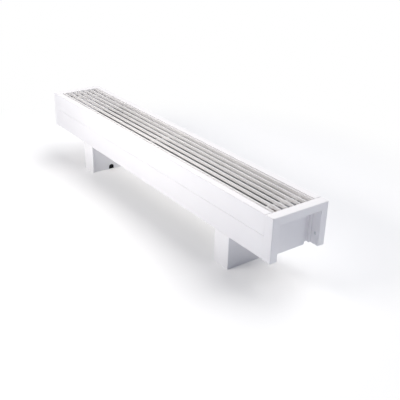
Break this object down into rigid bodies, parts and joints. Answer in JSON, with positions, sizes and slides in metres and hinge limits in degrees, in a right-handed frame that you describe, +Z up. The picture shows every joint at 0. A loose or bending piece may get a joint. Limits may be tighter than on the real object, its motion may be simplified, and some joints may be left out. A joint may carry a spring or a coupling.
{
  "type": "convector heater",
  "caption": "Long low floor-standing water convector: white folded casing with a linear lift-out grille on top, open framed ends and two box feet.",
  "frame": {"origin": "on the floor, under the middle of the casing", "axes": "+Z up, +X along the casing towards the end shown near the viewer, -Y towards the front"},
  "size_m": [1.2, 0.18, 0.216],
  "materials": {
    "white_lacquer": "satin white powder coat on sheet steel",
    "aluminium": "mill finish fins",
    "copper": "drawn copper tube",
    "brass": "turned brass",
    "nickel": "nickel-plated brass",
    "zinc": "bright zinc-plated steel",
    "white_plastic": "moulded, satin",
    "black_rubber": "matt moulded rubber"
  },
  "bodies": {
    "casing": {"front_panel": "white_lacquer", "rear_panel": "white_lacquer", "end_frame_near": "white_lacquer", "end_frame_far": "white_lacquer", "end_plate_near": "white_lacquer", "end_plate_far": "white_lacquer", "joint_bracket_near_front": "zinc", "joint_bracket_near_rear": "zinc", "joint_bracket_far_front": "zinc", "joint_bracket_far_rear": "zinc", "frame_screw_near_front": "zinc", "frame_screw_near_rear": "zinc", "frame_screw_far_front": "zinc", "frame_screw_far_rear": "zinc", "fin_pack": "aluminium", "tube_supply": "copper", "tube_return": "copper", "return_bend": "copper", "exchanger_support_near": "zinc", "exchanger_support_far": "zinc", "valve_body": "nickel", "valve_union_nut": "nickel", "lockshield_body": "nickel", "lockshield_union_nut": "nickel", "pipe_tail_supply": "copper", "pipe_tail_return": "copper", "foot_cover_left": "white_lacquer", "foot_cover_right": "white_lacquer", "foot_pedestal_left": "zinc", "foot_pedestal_right": "zinc", "foot_bridge_left": "zinc", "foot_bridge_right": "zinc", "foot_bolt_left_1": "zinc", "foot_bolt_left_2": "zinc", "foot_bolt_right_1": "zinc", "foot_bolt_right_2": "zinc"},
    "grille": {"grille_slat_1": "white_lacquer", "grille_slat_2": "white_lacquer", "grille_slat_3": "white_lacquer", "grille_slat_4": "white_lacquer", "grille_slat_5": "white_lacquer", "grille_slat_6": "white_lacquer", "grille_slat_7": "white_lacquer", "grille_crossbar_far": "white_lacquer", "grille_crossbar_middle": "white_lacquer", "grille_crossbar_near": "white_lacquer"},
    "knob": {"valve_knob": "white_plastic"},
    "pin": {"valve_pin": "zinc"},
    "cap": {"lockshield_cap": "white_plastic"},
    "spindle": {"lockshield_spindle": "brass"},
    "vent_screw": {"air_vent_screw": "brass"},
    "side_plate_left": {"foot_plate_left": "white_lacquer", "pipe_grommet": "black_rubber"},
    "side_plate_right": {"foot_plate_right": "white_lacquer"}
  },
  "joints": [
    {"name": "grille_lift", "type": "slide", "parent": "casing", "child": "grille", "axis": [0, 0, 1], "range_m": [0, 0.04]},
    {"name": "knob_turn", "type": "hinge", "parent": "casing", "child": "knob", "pos_m": [-0.463, -0.026, 0.15], "axis": [1, 0, 0], "range_deg": [0, 540]},
    {"name": "pin_push", "type": "slide", "parent": "casing", "child": "pin", "axis": [1, 0, 0], "range_m": [0, 0.0023]},
    {"name": "cap_pull", "type": "slide", "parent": "casing", "child": "cap", "axis": [-1, 0, 0], "range_m": [0, 0.025]},
    {"name": "spindle_turn", "type": "hinge", "parent": "casing", "child": "spindle", "pos_m": [-0.467, 0.026, 0.15], "axis": [1, 0, 0], "range_deg": [0, 720]},
    {"name": "vent_turn", "type": "hinge", "parent": "casing", "child": "vent_screw", "pos_m": [-0.435, 0.026, 0.168], "axis": [0, 0, 1], "range_deg": [0, 360]},
    {"name": "side_plate_left_pull", "type": "slide", "parent": "casing", "child": "side_plate_left", "axis": [1, 0, 0], "range_m": [0, 0.03]},
    {"name": "side_plate_right_pull", "type": "slide", "parent": "casing", "child": "side_plate_right", "axis": [-1, 0, 0], "range_m": [0, 0.03]}
  ],
  "couplings": [
    {"joint": "pin_push", "follows": "knob_turn", "m_per_rad": 0.00023873}
  ]
}
